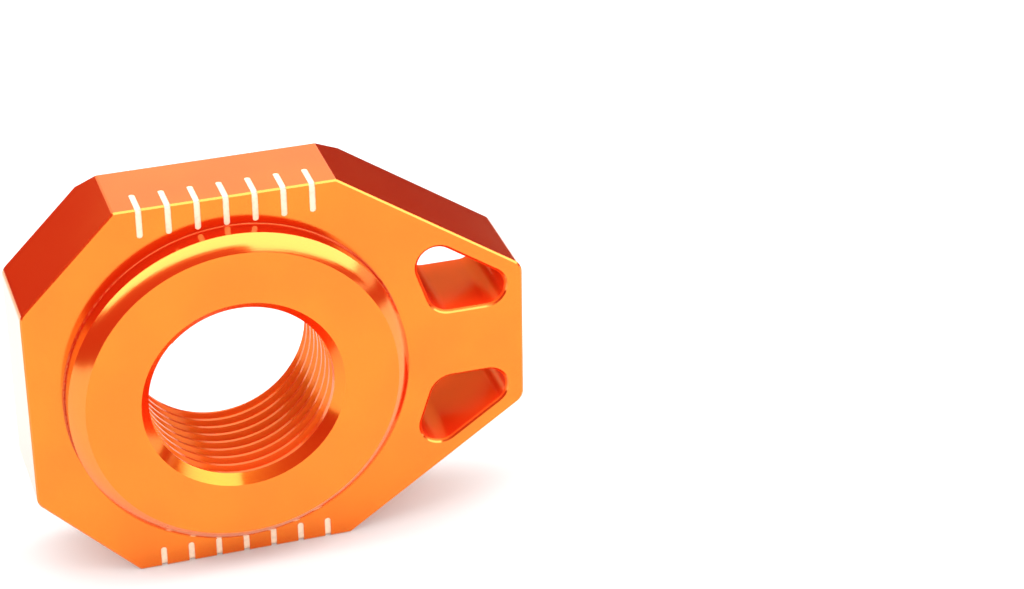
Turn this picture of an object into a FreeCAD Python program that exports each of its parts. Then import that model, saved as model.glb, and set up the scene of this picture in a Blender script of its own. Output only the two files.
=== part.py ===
import FreeCAD, Part
import math
import os

# Chain adjuster block for a motorcycle's rear axle, machined from one billet of aluminium.
# It sits in the open end of the swingarm. The axle screws into its threaded bore, and a bolt
# pushes on its nose to move the wheel back and tension the chain.
# All sizes are in millimetres. The bore's axis lies along Y and goes through the origin.
# The outer face of the plate is at y = 0, its boss stands out towards -Y, the swingarm side
# is at +Y, the nose points to +X, and Z is up.

# Outline of the plate, symmetric about the plane z = 0
half_height = 20.0
land_half_width = 10.8
tail_reach = 20.4
tail_half_height = 10.4
nose_reach = 29.25
nose_half_height = 7.6
end_corner_radius = 1.5
land_corner_radius = 0.4
plate_thickness = 10.3

# Edges
edge_break = 0.17
back_chamfer = 2.0

# Round boss on the outer face
boss_radius = 16.9
boss_height = 3.3
crown_width = 1.4
crown_drop = 1.4
crown_bulge = 0.08
cove_radius = 0.15

# Threaded bore
thread_diameter = 20.0
thread_pitch = 1.5
mouth_chamfer = 0.9
bore_back_chamfer = 0.5

# Lightening windows in the nose
window_wall = 1.73
window_flare = 0.3
window_rib = 7.5
window_start = 20.2
window_lean = 18.7
window_root_radius = 2.2
window_nose_radius = 1.95
window_top_radius = 2.0

# Scale marks engraved across both lands
mark_count = 7
mark_pitch = 2.8
mark_width = 0.58
mark_depth = 0.2
mark_length_on_land = 3.3
upper_mark_on_face = 3.05
lower_mark_on_face = 2.2

# The bore is drilled to the crests of a 60 degree metric thread
thread_minor_radius = (thread_diameter - thread_pitch * math.sqrt(3) * 5 / 8) / 2

# How far a cutter runs past the surface that it cuts
margin = 1.0


def vec(x, y, z):
    return FreeCAD.Vector(x, y, z)


def unit(x, z):
    length = math.hypot(x, z)
    return x / length, z / length


def rounded_wire(corners, radii, y):
    """Closed outline in the plane at y: straight sides joined by tangent arcs."""
    count = len(corners)
    entries, exits, middles = [], [], []
    for i in range(count):
        px, pz = corners[i]
        ax, az = corners[i - 1]
        bx, bz = corners[(i + 1) % count]
        ux, uz = unit(ax - px, az - pz)
        vx, vz = unit(bx - px, bz - pz)
        half_turn = math.acos(ux * vx + uz * vz) / 2
        setback = radii[i] / math.tan(half_turn)
        mx, mz = unit(ux + vx, uz + vz)
        reach = radii[i] / math.sin(half_turn) - radii[i]
        entries.append(vec(px + ux * setback, y, pz + uz * setback))
        exits.append(vec(px + vx * setback, y, pz + vz * setback))
        middles.append(vec(px + mx * reach, y, pz + mz * reach))
    edges = []
    for i in range(count):
        edges.append(Part.Arc(entries[i], middles[i], exits[i]).toShape())
        edges.append(Part.LineSegment(exits[i], entries[(i + 1) % count]).toShape())
    return Part.Wire(edges)


def prism(wire, depth):
    return Part.Face(wire).extrude(vec(0, depth, 0))


def plate_outline(y):
    upper = [
        (-tail_reach, tail_half_height),
        (-land_half_width, half_height),
        (land_half_width, half_height),
        (nose_reach, nose_half_height),
    ]
    lower = [(x, -z) for x, z in reversed(upper)]
    end, land = end_corner_radius, land_corner_radius
    radii = [end, land, land, end, end, land, land, end]
    return rounded_wire(upper + lower, radii, y)


def plate():
    """The flat plate, with every edge of its outline broken."""
    blank = prism(plate_outline(0), plate_thickness)
    rim = []
    for edge in blank.Edges:
        box = edge.BoundBox
        if box.YLength < edge_break / 10:
            rim.append(edge)
    return blank.makeChamfer(edge_break, rim)


def back_corner(side):
    """The wedge cut off along the back of a land; side is 1 for the top and -1 for the bottom."""
    top = (half_height + margin) * side
    foot = (half_height - back_chamfer) * side
    land = half_height * side
    back = plate_thickness
    points = [
        vec(-tail_reach, back, foot),
        vec(-tail_reach, back - back_chamfer, land),
        vec(-tail_reach, back - back_chamfer, top),
        vec(-tail_reach, back + margin, top),
        vec(-tail_reach, back + margin, foot),
    ]
    section = Part.Face(Part.makePolygon(points + points[:1]))
    return section.extrude(vec(tail_reach + nose_reach, 0, 0))


def boss():
    """The turned boss: flat ring face, bulged bevel, straight wall and a small cove at its foot."""
    top = -boss_height
    foot = plate_thickness / 2
    ring_edge = vec(boss_radius - crown_width, top, 0)
    wall_top = vec(boss_radius, top + crown_drop, 0)
    slope = math.hypot(crown_width, crown_drop)
    out_x = crown_drop / slope * crown_bulge
    out_y = -crown_width / slope * crown_bulge
    crown_middle = (ring_edge + wall_top) * 0.5 + vec(out_x, out_y, 0)
    wall_foot = vec(boss_radius, -cove_radius, 0)
    cove_reach = cove_radius * (1 - math.sqrt(0.5))
    cove_middle = vec(boss_radius + cove_reach, -cove_reach, 0)
    cove_edge = vec(boss_radius + cove_radius, 0, 0)
    edges = [
        Part.LineSegment(vec(0, top, 0), ring_edge).toShape(),
        Part.Arc(ring_edge, crown_middle, wall_top).toShape(),
        Part.LineSegment(wall_top, wall_foot).toShape(),
        Part.Arc(wall_foot, cove_middle, cove_edge).toShape(),
        Part.LineSegment(cove_edge, vec(cove_edge.x, foot, 0)).toShape(),
        Part.LineSegment(vec(cove_edge.x, foot, 0), vec(0, foot, 0)).toShape(),
        Part.LineSegment(vec(0, foot, 0), vec(0, top, 0)).toShape(),
    ]
    return Part.Face(Part.Wire(edges)).revolve(vec(0, 0, 0), vec(0, 1, 0), 360)


def bore():
    """The plain hole at the thread's crests, with its two chamfers."""
    front = -boss_height
    back = plate_thickness
    wide = thread_minor_radius + mouth_chamfer
    rear = thread_minor_radius + bore_back_chamfer
    points = [
        vec(0, front - margin, 0),
        vec(wide, front - margin, 0),
        vec(wide, front, 0),
        vec(thread_minor_radius, front + mouth_chamfer, 0),
        vec(thread_minor_radius, back - bore_back_chamfer, 0),
        vec(rear, back, 0),
        vec(rear, back + margin, 0),
        vec(0, back + margin, 0),
    ]
    profile = Part.Face(Part.makePolygon(points + points[:1]))
    return profile.revolve(vec(0, 0, 0), vec(0, 1, 0), 360)


def window_outline(y, grow):
    """The rounded triangle of the upper window, with all its sides moved out by grow."""
    nx, nz = unit(half_height - nose_half_height, nose_reach - land_half_width)
    taper = nx * nose_reach + nz * nose_half_height - window_wall + grow
    low = window_rib / 2 - grow
    lean = math.radians(window_lean)
    start = window_start - grow / math.cos(lean)
    foot = start + (window_rib / 2 - low) * math.tan(lean)
    nose = (taper - nz * low) / nx
    run = math.tan(lean)
    rise = (taper - nx * foot - nz * low) / (nz - nx * run)
    corners = [(foot, low), (nose, low), (foot - rise * run, low + rise)]
    radii = [window_root_radius + grow, window_nose_radius + grow, window_top_radius + grow]
    return rounded_wire(corners, radii, y)


def window():
    """The cutter of the upper window: a straight pocket that flares at both faces."""
    through = prism(window_outline(-margin, 0), plate_thickness + 2 * margin)
    mouths = []
    for face, inward in ((0, 1), (plate_thickness, -1)):
        outer = window_outline(face - inward * window_flare, 2 * window_flare)
        inner = window_outline(face + inward * window_flare, 0)
        mouths.append(Part.makeLoft([outer, inner], True, True))
    return through.fuse(mouths)


def slot(length, width, height):
    """A bar from the origin along +X with a round far end, centred on Y and rising along Z."""
    bar = Part.makeBox(length, width, height, vec(0, -width / 2, 0))
    return bar.fuse(Part.makeCylinder(width / 2, height, vec(length, 0, 0)))


def mark_cutter(x, length_on_face):
    """The tool path of one mark: down the outer face towards the boss, and back along the land."""
    on_land = slot(mark_length_on_land - mark_width / 2 + margin, mark_width, mark_depth + margin)
    on_land.rotate(vec(0, 0, 0), vec(0, 0, 1), 90)
    on_land.translate(vec(x, -margin, half_height - mark_depth))
    on_face = slot(length_on_face - mark_width / 2 + margin, mark_width, mark_depth + boss_height)
    on_face.rotate(vec(0, 0, 0), vec(0, 1, 0), 90)
    on_face.rotate(vec(0, 0, 0), vec(0, 0, 1), -90)
    on_face.translate(vec(x, mark_depth, half_height + margin))
    return on_land.fuse(on_face).removeSplitter()


def marks(length_on_face):
    """The cutters of the whole scale on the upper land."""
    first = -(mark_count - 1) / 2 * mark_pitch
    return [mark_cutter(first + i * mark_pitch, length_on_face) for i in range(mark_count)]


def mirrored(shape):
    return shape.mirror(vec(0, 0, 0), vec(0, 0, 1))


def adjuster_block():
    body = plate().fuse(boss())
    body = body.cut([back_corner(1), back_corner(-1)])
    body = body.cut([window(), mirrored(window())])
    body = body.cut(bore()).removeSplitter()
    lower_marks = [mirrored(mark) for mark in marks(lower_mark_on_face)]
    return body.cut(marks(upper_mark_on_face) + lower_marks)


def main():
    os.makedirs("parts", exist_ok=True)
    block = adjuster_block()
    block.exportStep("parts/adjuster_block.step")
    print("adjuster_block", block.isValid(), len(block.Solids), "solids", round(block.Volume, 1), "mm3")


main()
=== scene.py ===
"""Looks of an anodised chain adjuster block: threaded bore, painted scale marks, stage and camera."""

import math

import bpy
import bmesh
from bpy.props import FloatProperty, FloatVectorProperty, IntProperty, PointerProperty
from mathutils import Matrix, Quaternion, Vector


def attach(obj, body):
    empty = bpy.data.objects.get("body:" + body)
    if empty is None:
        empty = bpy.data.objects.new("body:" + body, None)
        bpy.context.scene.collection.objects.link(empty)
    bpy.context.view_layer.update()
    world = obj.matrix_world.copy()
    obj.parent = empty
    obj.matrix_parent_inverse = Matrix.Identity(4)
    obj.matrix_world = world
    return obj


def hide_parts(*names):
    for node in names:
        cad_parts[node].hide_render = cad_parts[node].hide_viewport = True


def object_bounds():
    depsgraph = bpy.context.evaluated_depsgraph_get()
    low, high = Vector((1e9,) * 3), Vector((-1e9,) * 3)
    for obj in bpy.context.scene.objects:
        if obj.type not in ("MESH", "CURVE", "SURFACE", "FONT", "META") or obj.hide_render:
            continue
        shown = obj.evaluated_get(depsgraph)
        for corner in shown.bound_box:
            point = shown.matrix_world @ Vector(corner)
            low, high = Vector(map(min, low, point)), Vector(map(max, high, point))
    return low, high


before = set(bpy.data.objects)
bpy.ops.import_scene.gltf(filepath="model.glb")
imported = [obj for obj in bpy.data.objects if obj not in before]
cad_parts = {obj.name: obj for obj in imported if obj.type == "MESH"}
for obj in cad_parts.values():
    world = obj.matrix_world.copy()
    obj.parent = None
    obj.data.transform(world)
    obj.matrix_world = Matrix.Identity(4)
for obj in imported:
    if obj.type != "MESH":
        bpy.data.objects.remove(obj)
cad_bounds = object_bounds()

bl_info = {
    "name": "Chain Adjuster Block",
    "version": (1, 0, 0),
    "blender": (4, 5, 0),
    "location": "3D View > Sidebar > Chain Adjuster",
    "description": "Dresses a machined chain adjuster block and sets its studio",
    "category": "Object",
}

MM = 0.001

# How far a flank of a metric thread leans out over one unit of depth
FLANK_LEAN = math.tan(math.radians(30))

# Places along the bore's axis, in millimetres. The boss's straight wall and the cove at its foot
# start at the last two.
BOSS_FACE = cad_bounds[0][1] / MM
PLATE_BACK = cad_bounds[1][1] / MM
WALL_TOP = -1.85
COVE_TOP = -0.25

# Distances from the bore's axis, in millimetres: the boss's wall, just outside the thread, and
# outside the chamfer at its mouth
BOSS_RADIUS = 16.9
THREAD_REACH = 10.15
MOUTH_REACH = 11.0

# The part of the nose that holds the windows, in millimetres: where it starts and ends along X,
# the direction square to the nose's slanted sides in X and Z, and how far it goes that way
WINDOWS_START = 17.0
WINDOWS_END = 28.6
TAPER_ACROSS = (0.558, 0.83)
WINDOWS_REACH = 22.0


class ThreadSizes(bpy.types.PropertyGroup):
    """Sizes of the thread in the bore."""

    root_radius: FloatProperty(
        name="Root radius",
        description="Radius at the bottom of the thread's groove",
        default=10.0 * MM,
        unit="LENGTH",
    )
    crest_radius: FloatProperty(
        name="Crest radius",
        description="Radius of the bore that the thread is cut into",
        default=9.188 * MM,
        unit="LENGTH",
    )
    pitch: FloatProperty(
        name="Pitch",
        description="Distance from one turn to the next",
        default=1.5 * MM,
        unit="LENGTH",
    )
    front: FloatProperty(
        name="Front",
        description="Where the first turn starts behind the chamfer, along the bore's axis",
        default=-2.05 * MM,
        unit="LENGTH",
    )
    start_angle: FloatProperty(
        name="Start angle",
        description="Angle about the bore at which the first turn starts",
        default=math.radians(225),
        subtype="ANGLE",
    )
    back: FloatProperty(
        name="Back",
        description="Where the bore opens at the back of the plate",
        default=cad_bounds[1][1],
        unit="LENGTH",
    )
    steps: IntProperty(
        name="Steps a turn",
        description="Number of straight pieces in one turn of the groove",
        default=144,
        min=24,
    )


class MarkSizes(bpy.types.PropertyGroup):
    """Sizes of the paint in the scale marks."""

    count: IntProperty(
        name="Marks",
        description="Number of marks on each land",
        default=7,
        min=1,
    )
    pitch: FloatProperty(
        name="Pitch",
        description="Distance between two marks",
        default=2.8 * MM,
        unit="LENGTH",
    )
    width: FloatProperty(
        name="Width",
        description="Width of one mark",
        default=0.58 * MM,
        unit="LENGTH",
    )
    groove_depth: FloatProperty(
        name="Groove depth",
        description="Depth of the groove that holds the paint",
        default=0.2 * MM,
        unit="LENGTH",
    )
    paint_gap: FloatProperty(
        name="Paint gap",
        description="How far the paint stays below the metal round it",
        default=0.04 * MM,
        unit="LENGTH",
    )
    land_height: FloatProperty(
        name="Land height",
        description="Height of the land above the bore's axis",
        default=cad_bounds[1][2],
        unit="LENGTH",
    )
    land_length: FloatProperty(
        name="Length on the land",
        description="How far a mark runs back along the land",
        default=3.3 * MM,
        unit="LENGTH",
    )
    upper_face_length: FloatProperty(
        name="Upper length on the face",
        description="How far an upper mark runs down the outer face",
        default=3.05 * MM,
        unit="LENGTH",
    )
    lower_face_length: FloatProperty(
        name="Lower length on the face",
        description="How far a lower mark runs up the outer face",
        default=2.2 * MM,
        unit="LENGTH",
    )
    paint_colour: FloatVectorProperty(
        name="Paint",
        description="Colour of the paint in the marks",
        subtype="COLOR",
        size=3,
        min=0,
        max=1,
        default=(0.9, 0.69, 0.51),
    )


class Finish(bpy.types.PropertyGroup):
    """Colours and gloss of the anodised metal."""

    sheen_colour: FloatVectorProperty(
        name="Sheen",
        description="Colour that the dyed metal gives to what it reflects",
        subtype="COLOR",
        size=3,
        min=0,
        max=1,
        default=(1.0, 0.41, 0.01),
    )
    edge_colour: FloatVectorProperty(
        name="Edge sheen",
        description="The sheen on bevels and broken edges, where the dye is thinner",
        subtype="COLOR",
        size=3,
        min=0,
        max=1,
        default=(1.0, 0.45, 0.05),
    )
    dye_colour: FloatVectorProperty(
        name="Dye",
        description="Deep colour of the dye where the metal reflects nothing bright",
        subtype="COLOR",
        size=3,
        min=0,
        max=1,
        default=(0.77, 0.022, 0.003),
    )
    # Painted light: a brighter copy of the dye in the bore and, in part, in the windows, for light
    # that bounces between their walls
    bore_lit_colour: FloatVectorProperty(
        name="Lit bore dye",
        description="Brighter copy of the dye on the thread, as painted bounce light,, which also tints the windows",
        subtype="COLOR",
        size=3,
        min=0,
        max=1,
        default=(1.0, 0.08, 0.012),
    )
    # Painted shade: a darker copy of the dye on the boss's straight wall and in the cove at its foot
    foot_shade_colour: FloatVectorProperty(
        name="Painted wall shade",
        description="Colour of the dye darkened as painted shade on the boss's straight wall",
        subtype="COLOR",
        size=3,
        min=0,
        max=1,
        default=(0.4, 0.012, 0.004),
    )
    roughness: FloatProperty(
        name="Roughness",
        description="Roughness of the satin metal",
        default=0.16,
        min=0,
        max=1,
        subtype="FACTOR",
    )
    coat: FloatProperty(
        name="Clear layer",
        description="Strength of the clear sealed layer over the dye",
        default=0.6,
        min=0,
        max=1,
        subtype="FACTOR",
    )


class StageSettings(bpy.types.PropertyGroup):
    """Floor, lamps and room."""

    floor_height: FloatProperty(
        name="Floor height",
        description="Height of the floor under the block",
        default=cad_bounds[0][2],
        unit="LENGTH",
    )
    floor_colour: FloatVectorProperty(
        name="Floor",
        description="Colour of the floor",
        subtype="COLOR",
        size=3,
        min=0,
        max=1,
        default=(0.68, 0.68, 0.68),
    )
    lamp_height: FloatProperty(
        name="Softbox height",
        description="Height of the softboxes over the bore's axis",
        default=0.45,
        unit="LENGTH",
    )
    lamps: FloatProperty(
        name="Softboxes",
        description="Brightness of the softboxes over the stage, where 1 is white",
        default=2.8,
        min=0,
    )
    back_lamp: FloatProperty(
        name="Back softbox",
        description="Brightness that the softbox behind the block adds to reflections",
        default=0.22,
        min=0,
    )
    fill: FloatProperty(
        name="Front fill",
        description="Brightness of the low lamp in front, which reflections don't show",
        default=1.6,
        min=0,
    )
    room: FloatProperty(
        name="Room",
        description="Brightness of the room round the stage",
        default=0.6,
        min=0,
    )


class Adjuster(bpy.types.PropertyGroup):
    """Everything that can be set."""

    thread: PointerProperty(type=ThreadSizes)
    marks: PointerProperty(type=MarkSizes)
    finish: PointerProperty(type=Finish)
    stage: PointerProperty(type=StageSettings)


class Wire:
    """A socket in a node tree. Sums and products of wires add their Math nodes."""

    def __init__(self, tree, socket=None):
        self.tree = tree
        self.socket = socket

    def plug(self, socket, value):
        if isinstance(value, Wire):
            self.tree.links.new(value.socket, socket)
        else:
            socket.default_value = value

    def make(self, kind, settings=None, values=None, output=0):
        """Adds a node, sets it up, fills its sockets and returns one of its outputs."""
        node = self.tree.nodes.new(kind)
        for name, value in (settings or {}).items():
            setattr(node, name, value)
        for name, value in (values or {}).items():
            self.plug(node.inputs[name], value)
        return Wire(self.tree, node.outputs[output] if node.outputs else None)

    def out(self, name):
        return Wire(self.tree, self.socket.node.outputs[name])

    def maths(self, operation, *values):
        return self.make("ShaderNodeMath", {"operation": operation}, dict(enumerate(values)))

    def __add__(self, other):
        return self.maths("ADD", self, other)

    def __radd__(self, other):
        return self.maths("ADD", other, self)

    def __sub__(self, other):
        return self.maths("SUBTRACT", self, other)

    def __rsub__(self, other):
        return self.maths("SUBTRACT", other, self)

    def __mul__(self, other):
        return self.maths("MULTIPLY", self, other)

    def __rmul__(self, other):
        return self.maths("MULTIPLY", other, self)

    def __truediv__(self, other):
        return self.maths("DIVIDE", self, other)

    def __rtruediv__(self, other):
        return self.maths("DIVIDE", other, self)

    def __abs__(self):
        return self.maths("ABSOLUTE", self)

    def root(self):
        return self.maths("SQRT", self)


def step(value, edge, blur=0.1):
    """0 below the edge and 1 above it, with a soft change as wide as blur."""
    settings = {"interpolation_type": "SMOOTHSTEP"}
    ends = {"Value": value, "From Min": edge - blur / 2, "From Max": edge + blur / 2}
    return value.make("ShaderNodeMapRange", settings, ends)


def band(value, low, high):
    """1 between two values and 0 outside them."""
    return step(value, low) * (1 - step(value, high))


def mix(factor, first, second):
    """The first colour where the factor is 0, and the second where it is 1."""
    values = {"Factor": factor, "A": first, "B": second}
    return factor.make("ShaderNodeMix", {"data_type": "RGBA"}, values, output="Result")


def opaque(colour, brightness=1.0):
    """A colour with the alpha that a colour socket needs, darker when the brightness is below 1."""
    return (*(shade * brightness for shade in colour), 1)


def empty_material(name):
    """A material without nodes, and a wire that starts its tree."""
    material = bpy.data.materials.new(name)
    material.use_nodes = True
    material.node_tree.nodes.clear()
    return material, Wire(material.node_tree)


def place_on_object(start):
    """The place on the object, in millimetres."""
    place = start.make("ShaderNodeTexCoord", output="Object")
    values = {"Vector": place, "Scale": 1 / MM}
    return start.make("ShaderNodeVectorMath", {"operation": "SCALE"}, values)


def parts_of(wire):
    parts = wire.make("ShaderNodeSeparateXYZ", values={"Vector": wire})
    return parts.out("X"), parts.out("Y"), parts.out("Z")


def turn_to_bore(start):
    """1 on the flat faces that the bore runs through, and 0 on the sides."""
    return abs(parts_of(start.make("ShaderNodeTexCoord", output="Normal"))[1])


def geometry_tree(name, sizes):
    """A Geometry Nodes tree with named inputs. Returns the tree and a wire for its inputs."""
    tree = bpy.data.node_groups.new(name, "GeometryNodeTree")
    face = tree.interface
    face.new_socket("Geometry", in_out="OUTPUT", socket_type="NodeSocketGeometry")
    face.new_socket("Geometry", in_out="INPUT", socket_type="NodeSocketGeometry")
    for size in sizes:
        kind = "NodeSocketInt" if size in ("Steps", "Count") else "NodeSocketFloat"
        face.new_socket(size, in_out="INPUT", socket_type=kind)
    face.new_socket("Material", in_out="INPUT", socket_type="NodeSocketMaterial")
    return tree, Wire(tree).make("NodeGroupInput")


def end_tree(given, geometry):
    """Ends a Geometry Nodes tree with plain geometry that carries the material."""
    plain = given.make("GeometryNodeRealizeInstances", values={"Geometry": geometry})
    values = {"Geometry": plain, "Material": given.out("Material")}
    dressed = given.make("GeometryNodeSetMaterial", values=values)
    given.make("NodeGroupOutput", values={"Geometry": dressed})


def vector(wire, x, y, z):
    return wire.make("ShaderNodeCombineXYZ", values={"X": x, "Y": y, "Z": z})


def thread_tree():
    """Cuts a helical groove with sloping flanks into the bore."""
    names = ["Root Radius", "Crest Radius", "Pitch", "Start", "Start Angle", "Length", "Steps"]
    tree, given = geometry_tree("Cut thread", names)
    root, crest = given.out("Root Radius"), given.out("Crest Radius")
    pitch, length = given.out("Pitch"), given.out("Length")
    root_width = pitch / 8.0
    overrun = pitch / 8.0
    height = root - crest + overrun
    sizes = {
        "Height": height,
        "Bottom Width": root_width + height * (2 * FLANK_LEAN),
        "Top Width": root_width,
        "Offset": 0.0,
    }
    tooth = given.make("GeometryNodeCurvePrimitiveQuadrilateral", {"mode": "TRAPEZOID"}, sizes)
    # The narrow side of the cutter turns outwards, to the root of the groove
    turned = {"Geometry": tooth, "Rotation": (0, 0, math.pi / 2)}
    tooth = given.make("GeometryNodeTransform", values=turned)
    middle = root - height / 2.0
    sizes = {
        "Resolution": given.out("Steps"),
        "Rotations": length / pitch,
        "Start Radius": middle,
        "End Radius": middle,
        "Height": length,
    }
    helix = given.make("GeometryNodeCurveSpiral", values=sizes)
    helix = given.make("GeometryNodeSetCurveNormal", {"mode": "Z_UP"}, {"Curve": helix})
    values = {"Curve": helix, "Profile Curve": tooth, "Fill Caps": True}
    groove = given.make("GeometryNodeCurveToMesh", values=values)
    values = {
        "Geometry": groove,
        "Translation": vector(given, 0.0, given.out("Start"), 0.0),
        "Rotation": vector(given, -math.pi / 2, given.out("Start Angle"), 0.0),
    }
    groove = given.make("GeometryNodeTransform", values=values)
    settings = {"operation": "DIFFERENCE", "solver": "EXACT"}
    values = {"Mesh 1": given.out("Geometry"), "Mesh 2": groove}
    end_tree(given, given.make("GeometryNodeMeshBoolean", settings, values))
    return tree


def paint_tree():
    """Lays a strip of paint over the land's front edge and repeats it along the scale."""
    bend_steps = 6
    strip_steps = 140
    end_share = 0.08
    names = ["Count", "Pitch", "Width", "Groove Depth", "Paint Gap", "Land Height"]
    names += ["Land Length", "Face Length", "Turn"]
    tree, given = geometry_tree("Scale paint", names)
    height, width = given.out("Land Height"), given.out("Width")
    thickness = given.out("Groove Depth") - given.out("Paint Gap")
    middle = given.out("Groove Depth") - thickness / 2.0
    ends = {
        "0": vector(given, 0.0, given.out("Land Length"), height - middle),
        "1": vector(given, 0.0, middle, height - middle),
        "2": vector(given, 0.0, middle, height - given.out("Face Length")),
    }
    line = given.make("GeometryNodeMeshLine", values={"Count": 3})
    line = given.make("GeometryNodeMeshToCurve", values={"Mesh": line})
    index = given.make("GeometryNodeInputIndex")
    corner = index_switch(given, index, ends)
    line = given.make("GeometryNodeSetPosition", values={"Geometry": line, "Position": corner})
    values = {"Curve": line, "Count": bend_steps, "Radius": thickness * 3.0}
    line = given.make("GeometryNodeFilletCurve", {"mode": "POLY"}, values)
    values = {"Curve": line, "Count": strip_steps}
    line = given.make("GeometryNodeResampleCurve", {"mode": "COUNT"}, values)
    values = {"Curve": line, "Normal": (1, 0, 0)}
    line = given.make("GeometryNodeSetCurveNormal", {"mode": "FREE"}, values)

    # Both ends of the strip narrow to a half circle
    along = given.make("GeometryNodeSplineParameter", output="Length")
    whole = given.make("GeometryNodeSplineLength", output="Length")
    from_end = along.maths("MINIMUM", along, whole - along)
    round_end = (from_end * (width - from_end)).root()
    inside = given.make(
        "FunctionNodeCompare",
        {"data_type": "FLOAT", "operation": "GREATER_THAN"},
        {"A": from_end, "B": width / 2.0},
    )
    share = given.make(
        "GeometryNodeSwitch",
        {"input_type": "FLOAT"},
        {"Switch": inside, "False": round_end / (width / 2.0), "True": 1.0},
    )
    share = share.maths("MAXIMUM", share, end_share)
    sizes = {"Width": width, "Height": thickness}
    settings = {"mode": "RECTANGLE"}
    section = given.make("GeometryNodeCurvePrimitiveQuadrilateral", settings, sizes)
    kept = given.tree.nodes.new("GeometryNodeCaptureAttribute")
    kept.capture_items.new("FLOAT", "Share")
    given.plug(kept.inputs["Geometry"], line)
    given.plug(kept.inputs["Share"], share)
    values = {
        "Curve": Wire(tree, kept.outputs["Geometry"]),
        "Profile Curve": section,
        "Fill Caps": True,
    }
    strip = given.make("GeometryNodeCurveToMesh", values=values)
    x, y, z = parts_of(given.make("GeometryNodeInputPosition"))
    narrowed = vector(given, x * Wire(tree, kept.outputs["Share"]), y, z)
    strip = given.make("GeometryNodeSetPosition", values={"Geometry": strip, "Position": narrowed})

    pitch, count = given.out("Pitch"), given.out("Count")
    first = (1.0 - count) * pitch / 2.0
    values = {
        "Count": count,
        "Start Location": vector(given, first, 0.0, 0.0),
        "Offset": vector(given, pitch, 0.0, 0.0),
    }
    places = given.make("GeometryNodeMeshLine", values=values)
    values = {"Points": places, "Instance": strip}
    strips = given.make("GeometryNodeInstanceOnPoints", values=values)
    turn = vector(given, 0.0, given.out("Turn"), 0.0)
    strips = given.make("GeometryNodeTransform", values={"Geometry": strips, "Rotation": turn})
    end_tree(given, strips)
    return tree


def index_switch(given, index, choices):
    """Chooses one of a few vectors by the point's number."""
    node = given.tree.nodes.new("GeometryNodeIndexSwitch")
    node.data_type = "VECTOR"
    while len(node.index_switch_items) < len(choices):
        node.index_switch_items.new()
    given.plug(node.inputs["Index"], index)
    for name, value in choices.items():
        given.plug(node.inputs[name], value)
    return Wire(given.tree, node.outputs[0])


def run_tree(source, tree, sizes, material, name):
    """Runs a tree on an object and returns the result as a new plain object."""
    modifier = source.modifiers.new(tree.name, "NODES")
    modifier.node_group = tree
    identifiers = {
        item.name: item.identifier
        for item in tree.interface.items_tree
        if item.in_out == "INPUT"
    }
    for size, value in sizes.items():
        modifier[identifiers[size]] = value
    modifier[identifiers["Material"]] = material
    depsgraph = bpy.context.evaluated_depsgraph_get()
    result = bpy.data.meshes.new_from_object(source.evaluated_get(depsgraph))
    source.modifiers.remove(modifier)
    if not result.polygons:
        raise RuntimeError("the tree " + tree.name + " made no faces")
    return new_object(name, result)


def new_object(name, mesh):
    piece = bpy.data.objects.new(name, mesh)
    bpy.context.scene.collection.objects.link(piece)
    return piece


def merged_copy(node):
    """A copy of a CAD node's mesh with its loose triangles joined."""
    same_place = 0.0005 * MM
    mesh = node.data.copy()
    shell = bmesh.new()
    shell.from_mesh(mesh)
    bmesh.ops.remove_doubles(shell, verts=shell.verts, dist=same_place)
    shell.to_mesh(mesh)
    shell.free()
    mesh.materials.clear()
    return new_object("blank", mesh)


def crisp_edges(piece):
    """Keeps machined edges sharp and flats flat."""
    flat, sharp = math.radians(0.3), math.radians(25)
    shell = bmesh.new()
    shell.from_mesh(piece.data)
    bmesh.ops.dissolve_limit(shell, angle_limit=flat, verts=shell.verts, edges=shell.edges)
    for face in shell.faces:
        face.smooth = True
    for edge in shell.edges:
        edge.smooth = edge.calc_face_angle(0) < sharp
    shell.to_mesh(piece.data)
    shell.free()
    modifier = piece.modifiers.new("Flat flats", "WEIGHTED_NORMAL")
    modifier.keep_sharp = True
    modifier.weight = 100


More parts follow.
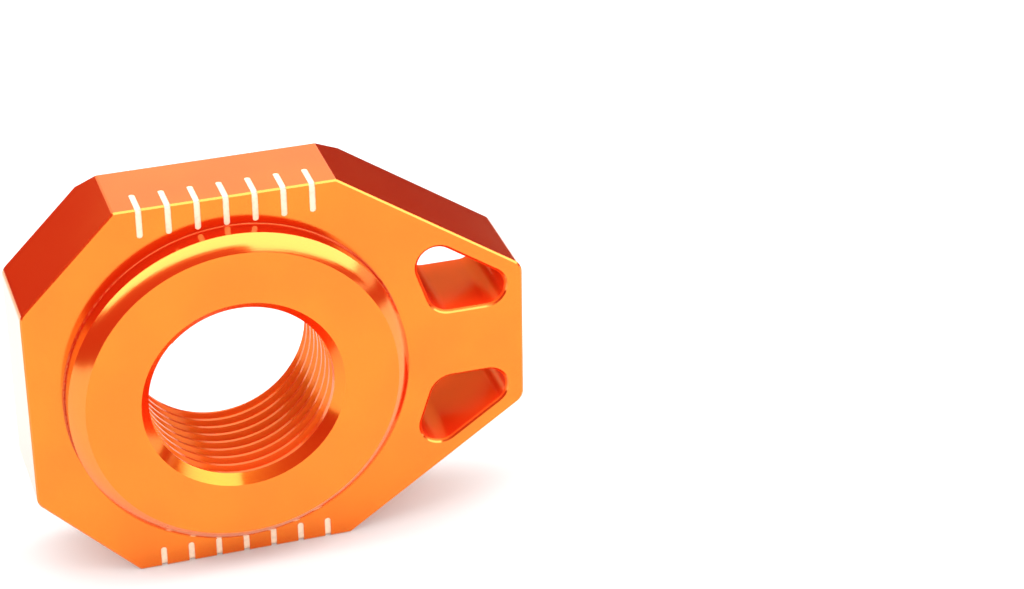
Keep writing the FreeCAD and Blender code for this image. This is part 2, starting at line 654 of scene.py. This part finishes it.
def anodising(finish):
    """Satin orange anodising: metal that shines orange, mixed with the deep red of its dye."""
    material, start = empty_material("orange anodising")
    place = place_on_object(start)
    window, bore = cut_walls(place)
    wall, cove = boss_foot_shade(place)
    turning, milling = tool_marks(place)
    cuts = turning + milling * (1 - window)
    grain = start.make("ShaderNodeTexNoise", values={"Vector": place, "Scale": 9.0, "Detail": 3.0})
    cloud = start.make("ShaderNodeTexNoise", values={"Vector": place, "Scale": 0.12, "Detail": 2.0})
    facing = start.make("ShaderNodeLayerWeight", values={"Blend": 0.5}, output="Facing")

    # What the metal reflects is tinted, less so on broken edges and at a glancing angle
    dull, bright = opaque(finish.sheen_colour, 0.9), opaque(finish.sheen_colour)
    sheen = mix(step(cloud, 0.5, 0.3), dull, bright)
    sheen = mix(step(facing, 0.79) * 0.45, sheen, (1, 1, 1, 1))
    sheen = mix(broken_edges(place) * (1 - cove), sheen, opaque(finish.edge_colour))
    # Painted light: the dye turns brighter on the thread, and partly in the windows
    deep = mix(bore + window * 0.3, opaque(finish.dye_colour), opaque(finish.bore_lit_colour))
    # Painted shade: the dye turns darker on the boss's straight wall
    deep = mix(wall * 0.6, deep, opaque(finish.foot_shade_colour))

    rough = grain * 0.03 + cuts * 0.03 + window * 0.14 + bore * 0.08 + (cloud - 0.5) * 0.04
    rough = rough + (finish.roughness - 0.03)
    relief = {"Strength": 0.03, "Distance": 0.01 * MM, "Height": grain + cuts * 1.5}
    bump = start.make("ShaderNodeBump", values=relief)
    surface = {
        "Coat Weight": finish.coat - window * 0.5,
        "Coat Roughness": 0.12,
        "Normal": bump,
    }
    metal = start.make(
        "ShaderNodeBsdfPrincipled",
        values={"Base Color": sheen, "Metallic": 1.0, "Roughness": rough, **surface},
    )
    dye = start.make(
        "ShaderNodeBsdfPrincipled",
        values={"Base Color": deep, "Roughness": 0.5, "Specular IOR Level": 0.0, **surface},
    )

    # Half is metal and half is dye, with more metal where a face is seen at a slant, and more dye in
    # the windows, which are duller, and on the thread, whose brighter dye is painted bounce light. In
    # the cove, more of the darker dye and less reflection are painted shade.
    share = step(facing, 0.72, 0.2) * (1 - window) * (1 - bore) * 0.22
    share = share - window * 0.32 - bore * 0.14 - cove * 0.35 + 0.5
    both = start.make("ShaderNodeMixShader", values={0: share, 1: dye, 2: metal})
    start.make("ShaderNodeOutputMaterial", values={"Surface": both})
    return material


def cut_walls(place):
    """Two masks: 1 on the walls of the windows, which are duller and get some of the brighter dye
    that paints bounce light on the thread, and 1 on the thread.
    """
    x, y, z = parts_of(place)
    across, up = TAPER_ACROSS
    # The windows' mask ends just inside the plate's two faces, and the thread's at its chamfers
    pocket = band(y, 0.15, PLATE_BACK - 0.15) * band(x, WINDOWS_START, WINDOWS_END)
    pocket = pocket * (1 - step(x * across + abs(z) * up, WINDOWS_REACH))
    bore = 1 - step(bore_distance(place), THREAD_REACH)
    return pocket, bore * band(y, BOSS_FACE + 0.95, PLATE_BACK - 0.4)


def boss_foot_shade(place):
    """Two masks of painted shade at the boss's foot: 1 on the boss's straight wall, and 1 in its
    cove.
    """
    y = parts_of(place)[1]
    wall = band(bore_distance(place), BOSS_RADIUS - 0.07, BOSS_RADIUS + 0.2)
    wall = wall * band(y, WALL_TOP, 0.05)
    return wall, wall * step(y, COVE_TOP)


def broken_edges(place):
    """1 outside the bore on the faces that lean 45 degrees, where the dye is thinner."""
    turn = turn_to_bore(place)
    leaning = step(turn, 0.55, 0.15) * (1 - step(turn, 0.88, 0.15))
    return leaning * step(bore_distance(place), MOUTH_REACH)


def bore_distance(place):
    x, y, z = parts_of(place)
    return (x * x + z * z).root()


def tool_marks(place):
    """Fine rings on the turned boss, and fine lines along the milled sides."""
    settings = {"wave_type": "RINGS", "rings_direction": "Y"}
    values = {"Vector": place, "Scale": 1.6, "Distortion": 0.4, "Detail": 1.0}
    rings = place.make("ShaderNodeTexWave", settings, values, output="Fac")
    values = {"Vector": place, "Scale": 0.9, "Distortion": 0.6, "Detail": 2.0}
    lines = place.make("ShaderNodeTexWave", {"bands_direction": "Y"}, values, output="Fac")
    side = 1 - step(turn_to_bore(place), 0.3, 0.2)
    turned = 1 - step(parts_of(place)[1], -0.2)
    return rings * turned, lines * side * (1 - turned)


def mark_paint(marks):
    """Off-white paint wiped into the engraved marks, a little dirty in patches."""
    material, start = empty_material("mark paint")
    values = {"Vector": place_on_object(start), "Scale": 2.5, "Detail": 3.0}
    patch = start.make("ShaderNodeTexNoise", values=values)
    clean, dirty = opaque(marks.paint_colour), opaque(marks.paint_colour, 0.88)
    colour = mix(step(patch, 0.56, 0.2), clean, dirty)
    paint = start.make("ShaderNodeBsdfPrincipled", values={"Base Color": colour, "Roughness": 0.5})
    start.make("ShaderNodeOutputMaterial", values={"Surface": paint})
    return material


class DressBlock(bpy.types.Operator):
    """Cut the thread into the block and anodise it"""

    bl_idname = "adjuster.block"
    bl_label = "Anodised block"

    def execute(self, context):
        settings = context.scene.adjuster
        thread = settings.thread
        blank = merged_copy(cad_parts["adjuster_block"])
        sizes = {
            "Root Radius": thread.root_radius,
            "Crest Radius": thread.crest_radius,
            "Pitch": thread.pitch,
            "Start": thread.front,
            "Start Angle": thread.start_angle,
            "Length": thread.back - thread.front + thread.pitch,
            "Steps": thread.steps,
        }
        block = run_tree(blank, thread_tree(), sizes, anodising(settings.finish), "block")
        bpy.data.objects.remove(blank)
        crisp_edges(block)
        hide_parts("adjuster_block")
        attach(block, "root")
        return {"FINISHED"}


class PaintMarks(bpy.types.Operator):
    """Fill the scale marks of both lands with paint"""

    bl_idname = "adjuster.marks"
    bl_label = "Painted scale marks"

    def execute(self, context):
        marks = context.scene.adjuster.marks
        tree = paint_tree()
        paint = mark_paint(marks)
        for name, face_length, turn in (
            ("upper_scale_paint", marks.upper_face_length, 0.0),
            ("lower_scale_paint", marks.lower_face_length, math.pi),
        ):
            sizes = {
                "Count": marks.count,
                "Pitch": marks.pitch,
                "Width": marks.width,
                "Groove Depth": marks.groove_depth,
                "Paint Gap": marks.paint_gap,
                "Land Height": marks.land_height,
                "Land Length": marks.land_length,
                "Face Length": face_length,
                "Turn": turn,
            }
            holder = new_object("holder", bpy.data.meshes.new("holder"))
            piece = run_tree(holder, tree, sizes, paint, name)
            bpy.data.objects.remove(holder)
            piece.data.set_sharp_from_angle(angle=math.radians(30))
            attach(piece, "root")
        return {"FINISHED"}


def softbox(name, place, size_x, size_y, brightness, tilt=0.0):
    """A flat soft lamp that the camera doesn't see. It faces down unless it is tilted about X."""
    lamp = bpy.data.lights.new(name, "AREA")
    lamp.shape = "RECTANGLE"
    lamp.size = size_x
    lamp.size_y = size_y
    lamp.energy = brightness * math.pi * size_x * size_y
    holder = bpy.data.objects.new(name, lamp)
    holder.location = place
    holder.rotation_euler.x = tilt
    holder.visible_camera = False
    bpy.context.scene.collection.objects.link(holder)
    return holder


def plain_material(name, colour, roughness):
    material = bpy.data.materials.new(name)
    material.use_nodes = True
    surface = material.node_tree.nodes["Principled BSDF"]
    surface.inputs["Base Color"].default_value = (*colour, 1)
    surface.inputs["Roughness"].default_value = roughness
    surface.inputs["Specular IOR Level"].default_value = 0.0
    return material


def seen_directly(wire, amount):
    """The amount for rays from the camera and for reflections, and 0 for soft light."""
    ray = wire.make("ShaderNodeLightPath", output="Is Camera Ray")
    seen = ray.maths("MAXIMUM", ray, ray.out("Is Glossy Ray"))
    return seen.maths("MAXIMUM", seen, ray.out("Is Transmission Ray")) * amount


class SetStage(bpy.types.Operator):
    """Lay the floor and set the lamps, the room and the camera"""

    bl_idname = "adjuster.stage"
    bl_label = "Stage"

    def execute(self, context):
        stage = context.scene.adjuster.stage
        floor = self.lay_floor(stage)
        cards = self.stand_cards(stage)
        self.hang_lamps(stage)
        self.light_room(context.scene, stage)
        self.place_camera(context.scene)
        context.scene.view_settings.view_transform = "Standard"
        return {"FINISHED"}

    def lay_floor(self, stage):
        """A pale floor, lifted towards white where the camera or a reflection sees it."""
        half_size = 1.5
        lift = 0.15
        sheet = bmesh.new()
        bmesh.ops.create_grid(sheet, x_segments=1, y_segments=1, size=half_size)
        bmesh.ops.translate(sheet, verts=sheet.verts, vec=(0, 0, stage.floor_height))
        mesh = bpy.data.meshes.new("floor")
        sheet.to_mesh(mesh)
        sheet.free()
        material = plain_material("pale floor", stage.floor_colour, 0.9)
        surface = material.node_tree.nodes["Principled BSDF"]
        surface.inputs["Emission Color"].default_value = (1, 1, 1, 1)
        seen = seen_directly(Wire(material.node_tree), lift)
        seen.plug(surface.inputs["Emission Strength"], seen)
        mesh.materials.append(material)
        return new_object("floor", mesh)

    def stand_cards(self, stage):
        """Dark cards round the floor, which only reflections see, so that the facets turn dark."""
        front, left, back, right = -0.27, -0.26, 0.17, 0.3
        floor, top = stage.floor_height, stage.lamp_height
        # Both ends of each card on the floor, and its lower and upper edge, in metres
        edges = [
            # Three high cards in front, of which the last hangs above the floor
            ((-1.2, front), (0.135, front), floor, top),
            ((0.135, -0.39), (0.3, -0.39), floor, top),
            ((0.3, -0.39), (1.8, -0.43), 0.19, top),
            # Low cards at the left, the back and the right
            ((left, front), (left, back), floor, 0.095),
            ((left, back), (right, back), floor, 0.055),
            ((right, back), (right, front), floor, 0.03),
        ]
        shell = bmesh.new()
        for start, end, low, high in edges:
            face = [(*start, low), (*end, low), (*end, high), (*start, high)]
            shell.faces.new([shell.verts.new(corner) for corner in face])
        mesh = bpy.data.meshes.new("dark cards")
        shell.to_mesh(mesh)
        shell.free()
        cards = new_object("dark_cards", mesh)
        mesh.materials.append(plain_material("dark card", (0.02, 0.02, 0.02), 0.9))
        cards.visible_camera = False
        cards.visible_diffuse = False
        cards.visible_shadow = False
        return cards

    def hang_lamps(self, stage):
        """Softboxes over the stage and behind it, and a low fill lamp in front."""
        height = stage.lamp_height
        back = 0.5
        # Left, right and front edge of each softbox in lamp heights, and whether it lights the
        # floor and the paint as well as showing in reflections
        for name, left, right, front, lights in (
            ("left_softbox", -2.1, 0.3, -0.6, True),
            ("right_softbox", 0.3, 1.4, -0.85, True),
            ("far_softbox", 1.4, 3.6, -0.95, False),
        ):
            middle = Vector(((left + right) / 2, (front + back) / 2, 1)) * height
            size_x, size_y = (right - left) * height, (back - front) * height
            lamp = softbox(name, middle, size_x, size_y, stage.lamps)
            lamp.visible_diffuse = lights
        behind, before = Vector((0.9, 1.6, 1.0)) * height, Vector((0.0, -1.0, 0.3)) * height
        width, tall, low = 2.2 * height, 2 * height, 0.7 * height
        lamp = softbox("back_softbox", behind, width, tall, stage.back_lamp, -math.pi / 2)
        lamp.visible_diffuse = False
        lamp = softbox("front_fill", before, width, low, stage.fill, math.pi / 2)
        lamp.visible_glossy = False

    def light_room(self, scene, stage):
        """A soft room that looks white where the camera or a reflection sees past the floor."""
        world = bpy.data.worlds.new("room")
        world.use_nodes = True
        world.node_tree.nodes.clear()
        start = Wire(world.node_tree)
        seen = seen_directly(start, 1 - stage.room)
        values = {"Color": (1, 1, 1, 1), "Strength": seen + stage.room}
        light = start.make("ShaderNodeBackground", values=values)
        start.make("ShaderNodeOutputWorld", values={"Surface": light})
        scene.world = world

    def place_camera(self, scene):
        camera = bpy.data.objects.new("camera", bpy.data.cameras.new("camera"))
        camera.data.sensor_width = 36
        camera.data.lens = 112.5
        camera.data.clip_start = 0.01
        camera.data.clip_end = 5
        turn, tilt, roll = math.radians(17.1278), math.radians(29.0061), math.radians(0.7513)
        ahead = Vector(
            (math.sin(turn) * math.cos(tilt), math.cos(turn) * math.cos(tilt), -math.sin(tilt))
        )
        camera.location = Vector((-53.39, -264.59, 157.94)) * MM
        upright = ahead.to_track_quat("-Z", "Y")
        camera.rotation_euler = (upright @ Quaternion((0, 0, 1), -roll)).to_euler()
        scene.collection.objects.link(camera)
        scene.camera = camera


class AdjusterPanel(bpy.types.Panel):
    """Lists the pieces of the chain adjuster"""

    bl_idname = "VIEW3D_PT_adjuster"
    bl_label = "Chain Adjuster"
    bl_space_type = "VIEW_3D"
    bl_region_type = "UI"
    bl_category = "Chain Adjuster"

    def draw(self, context):
        layout = self.layout
        settings = context.scene.adjuster
        for operator, groups in (
            (DressBlock, (settings.thread, settings.finish)),
            (PaintMarks, (settings.marks,)),
            (SetStage, (settings.stage,)),
        ):
            box = layout.box()
            for group in groups:
                for name in group.bl_rna.properties.keys():
                    if name not in ("rna_type", "name"):
                        box.prop(group, name)
            box.operator(operator.bl_idname)


CLASSES = (
    ThreadSizes,
    MarkSizes,
    Finish,
    StageSettings,
    Adjuster,
    DressBlock,
    PaintMarks,
    SetStage,
    AdjusterPanel,
)


def register():
    for cls in CLASSES:
        bpy.utils.register_class(cls)
    bpy.types.Scene.adjuster = PointerProperty(type=Adjuster)


def unregister():
    del bpy.types.Scene.adjuster
    for cls in reversed(CLASSES):
        bpy.utils.unregister_class(cls)


def main():
    register()
    bpy.ops.adjuster.block()
    bpy.ops.adjuster.marks()
    bpy.ops.adjuster.stage()


if __name__ == "__main__":
    main()
